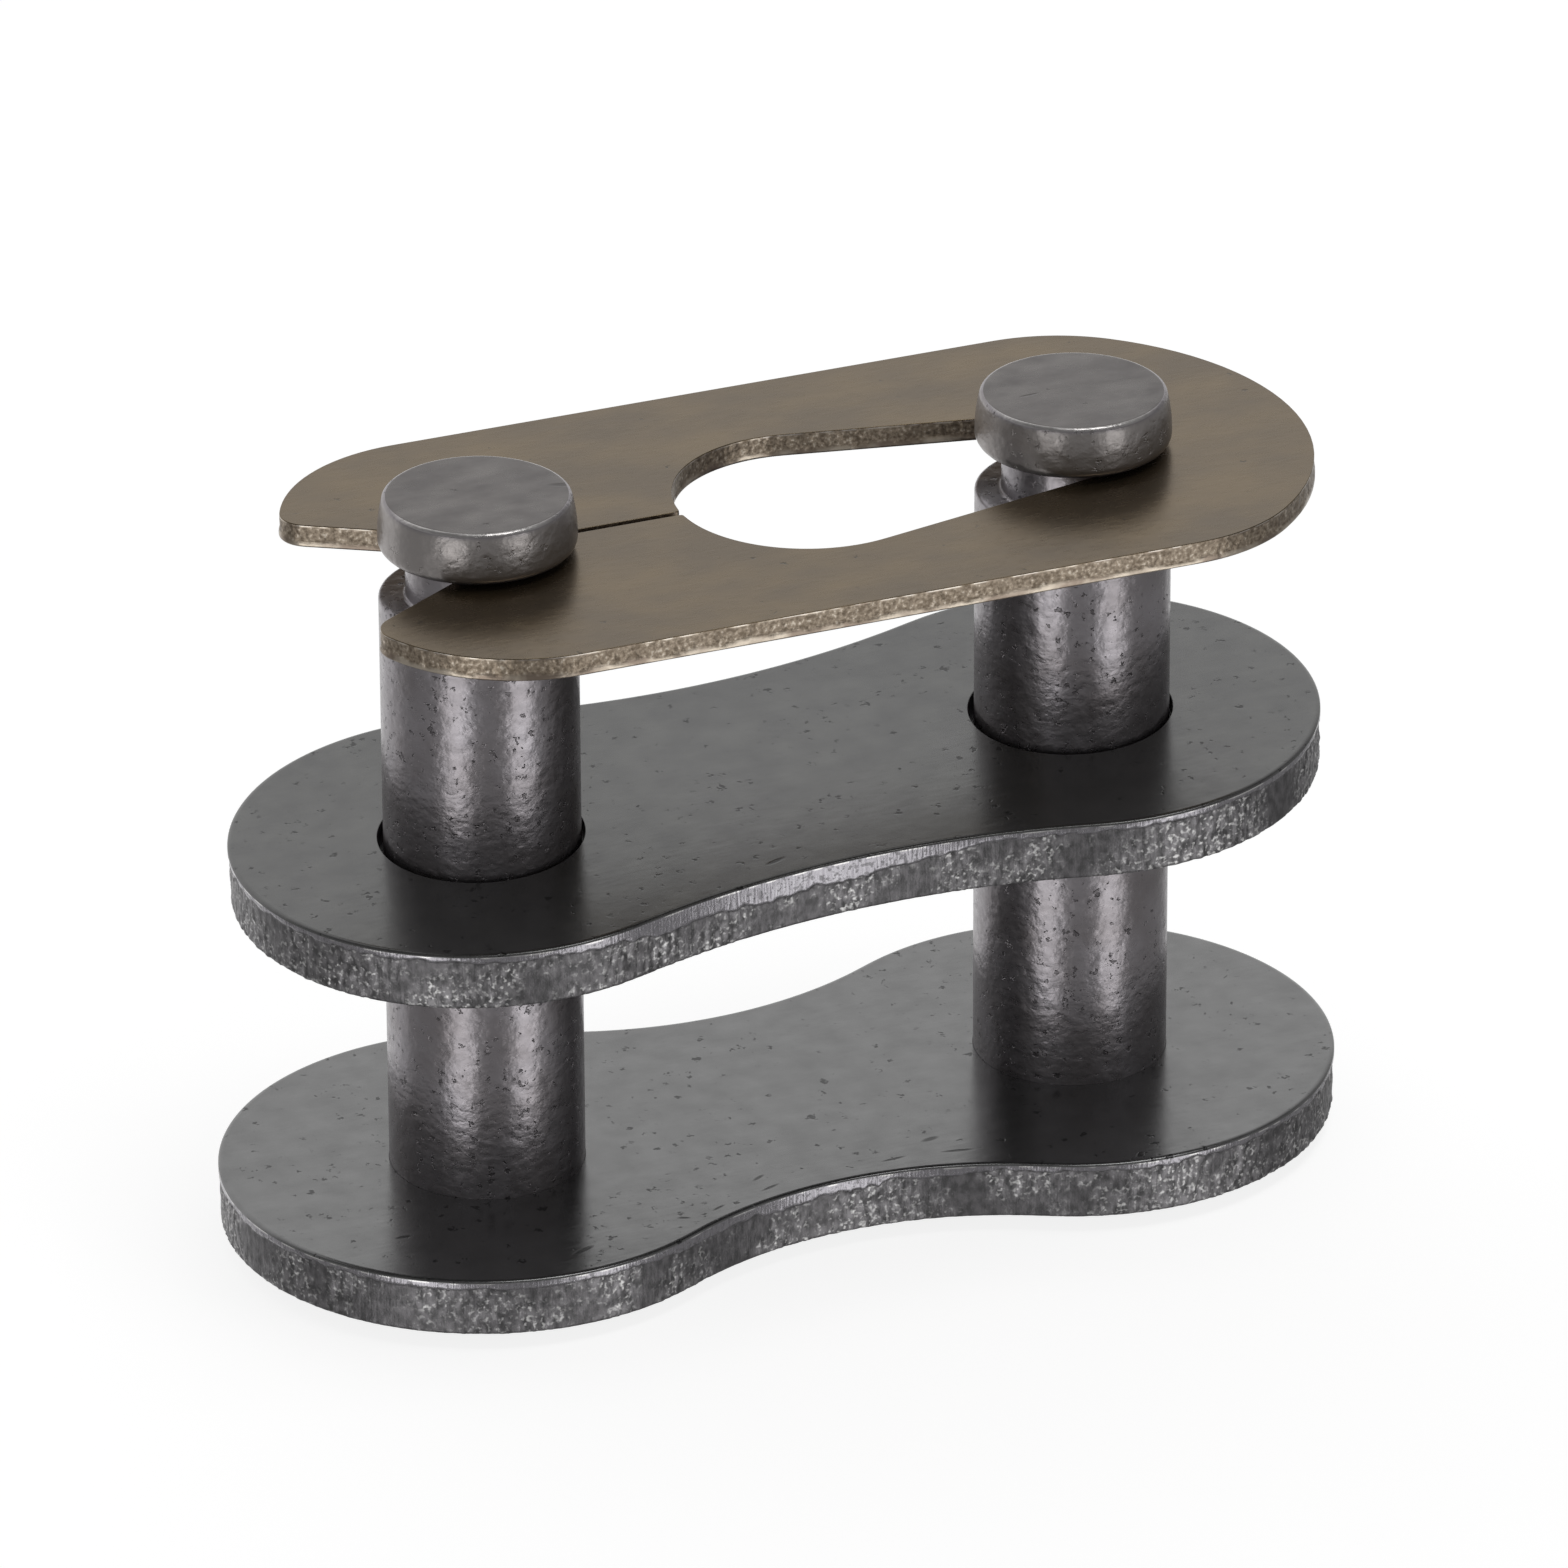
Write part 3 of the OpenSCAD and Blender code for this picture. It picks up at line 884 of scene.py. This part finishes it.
# What the floor glows towards the camera, on top of the light that it reflects, and half of
# its side in metres
FLOOR_GLOW = 0.82
FLOOR_HALF = 1.5


def place_camera():
    """Puts the camera where the photo's was."""
    data = bpy.data.cameras.new("camera")
    data.lens = CAMERA_LENS
    data.sensor_width = CAMERA_SENSOR
    camera = bpy.data.objects.new("camera", data)
    turn = Matrix.Rotation(CAMERA_TURN, 4, "Z")
    tilt = Matrix.Rotation(math.radians(90) - CAMERA_LOOKS_DOWN, 4, "X")
    roll = Matrix.Rotation(CAMERA_ROLL, 4, "Z")
    camera.matrix_world = Matrix.Translation(CAMERA_PLACE) @ turn @ tilt @ roll
    bpy.context.scene.collection.objects.link(camera)
    bpy.context.scene.camera = camera


def softbox(name, azimuth, elevation, distance, width, height, brightness):
    """An area lamp aimed at the link. Azimuth counts from the camera to the right, in
    degrees, and lengths are in metres. Brightness is what a mirror would show of the lamp,
    where 1 is white."""
    data = bpy.data.lights.new(name, "AREA")
    data.shape = "RECTANGLE"
    data.size = width
    data.size_y = height
    data.energy = brightness * math.pi * width * height
    lamp = bpy.data.objects.new(name, data)
    turn = Matrix.Rotation(CAMERA_TURN + math.radians(azimuth), 4, "Z")
    tilt = Matrix.Rotation(math.radians(90 - elevation), 4, "X")
    middle = Matrix.Translation((0, 0, cad_box[1][2] / 2))
    lamp.matrix_world = middle @ turn @ tilt @ Matrix.Translation((0, 0, distance))
    bpy.context.scene.collection.objects.link(lamp)


def light_world():
    """White behind the link and dim in front of it, as metal sees a small studio. The
    camera sees plain white."""
    world = bpy.data.worlds.new("studio")
    world.use_nodes = True
    tree = world.node_tree
    tree.nodes.clear()
    direction = add(tree, "TexCoord", output="Generated")
    turn = CAMERA_TURN + math.radians(BACKGROUND_AZIMUTH)
    behind = Vector((math.sin(turn), -math.cos(turn), 0))
    facing = add(tree, "VectorMath", {0: direction, 1: behind}, "Value", operation="DOT_PRODUCT")
    height = add(tree, "SeparateXYZ", {0: direction}, "Z")
    room = add(tree, "MapRange", {
        "Value": height, "From Min": CEILING_FROM, "From Max": CEILING_WHOLE,
        "To Min": ROOM_LEVEL, "To Max": CEILING_LEVEL})
    strength = add(tree, "MapRange", {
        "Value": facing, "From Min": WHITE_FROM, "From Max": WHITE_WHOLE,
        "To Min": room, "To Max": 1.0}, interpolation_type="SMOOTHSTEP")
    studio = add(tree, "Background", {"Color": "ffffff", "Strength": strength})
    white = add(tree, "Background", {"Color": "ffffff", "Strength": 1.0})
    seen = add(tree, "LightPath", output="Is Camera Ray")
    both = add(tree, "MixShader", {0: seen, 1: studio, 2: white})
    add(tree, "OutputWorld", {"Surface": both})
    bpy.context.scene.world = world


def white_floor():
    """Matt white card. Seen by the camera it is as white as the background, but for the
    link's shadow."""
    material, tree = start_material("white_card")
    seen = add(tree, "LightPath", output="Is Camera Ray")
    strength = add(tree, "Math", {0: seen, 1: FLOOR_GLOW}, operation="MULTIPLY")
    glow = add(tree, "Emission", {"Color": "ffffff", "Strength": strength})
    card = add(tree, "BsdfDiffuse", {"Color": "aaaaaa"})
    both = add(tree, "AddShader", {0: glow, 1: card})
    add(tree, "OutputMaterial", {"Surface": both})
    bm = bmesh.new()
    bmesh.ops.create_grid(bm, x_segments=1, y_segments=1, size=FLOOR_HALF)
    mesh = bpy.data.meshes.new("floor")
    bm.to_mesh(mesh)
    bm.free()
    mesh.materials.append(material)
    floor = bpy.data.objects.new("floor", mesh)
    floor.visible_glossy = False
    floor.visible_shadow = False
    bpy.context.scene.collection.objects.link(floor)


place_camera()
light_world()
white_floor()
softbox("left_strip", azimuth=-27, elevation=-22, distance=0.5, width=0.2, height=0.52,
        brightness=1.85)
softbox("right_strip", azimuth=48, elevation=-22, distance=0.5, width=0.2, height=0.52,
        brightness=1.8)
softbox("top_box", azimuth=90, elevation=77, distance=0.5, width=0.2, height=0.2,
        brightness=3.5)

pin_materials = [ground_pin_steel(), pressed_head_steel()]
edge_steel = sheared_plate_steel()
pin_plate_face = plate_face_steel("tumbled_plate_steel", tone="7e7e7e", dark="727272",
                                  speck="3e3e3e", bare=0.87, scars=PIN_PLATE_SCARS)
cover_plate_face = plate_face_steel("tumbled_cover_steel", tone="6d6d6c", dark="636363",
                                    speck="383838", bare=0.74, scars=COVER_PLATE_SCARS)
link_plate("pin_side_plate", "pin_plate", "pin_link", PIN_PLATE_LAND,
           [pin_plate_face, edge_steel])
link_plate("clip_side_plate", "cover_plate", "cover", COVER_PLATE_LAND,
           [cover_plate_face, edge_steel])
chain_pin("left_chain_pin", "left_pin", pin_materials)
chain_pin("right_chain_pin", "right_pin", pin_materials)
spring_clip([bronzed_spring_steel(), sheared_spring_steel()])

bpy.context.scene.view_settings.view_transform = "Standard"
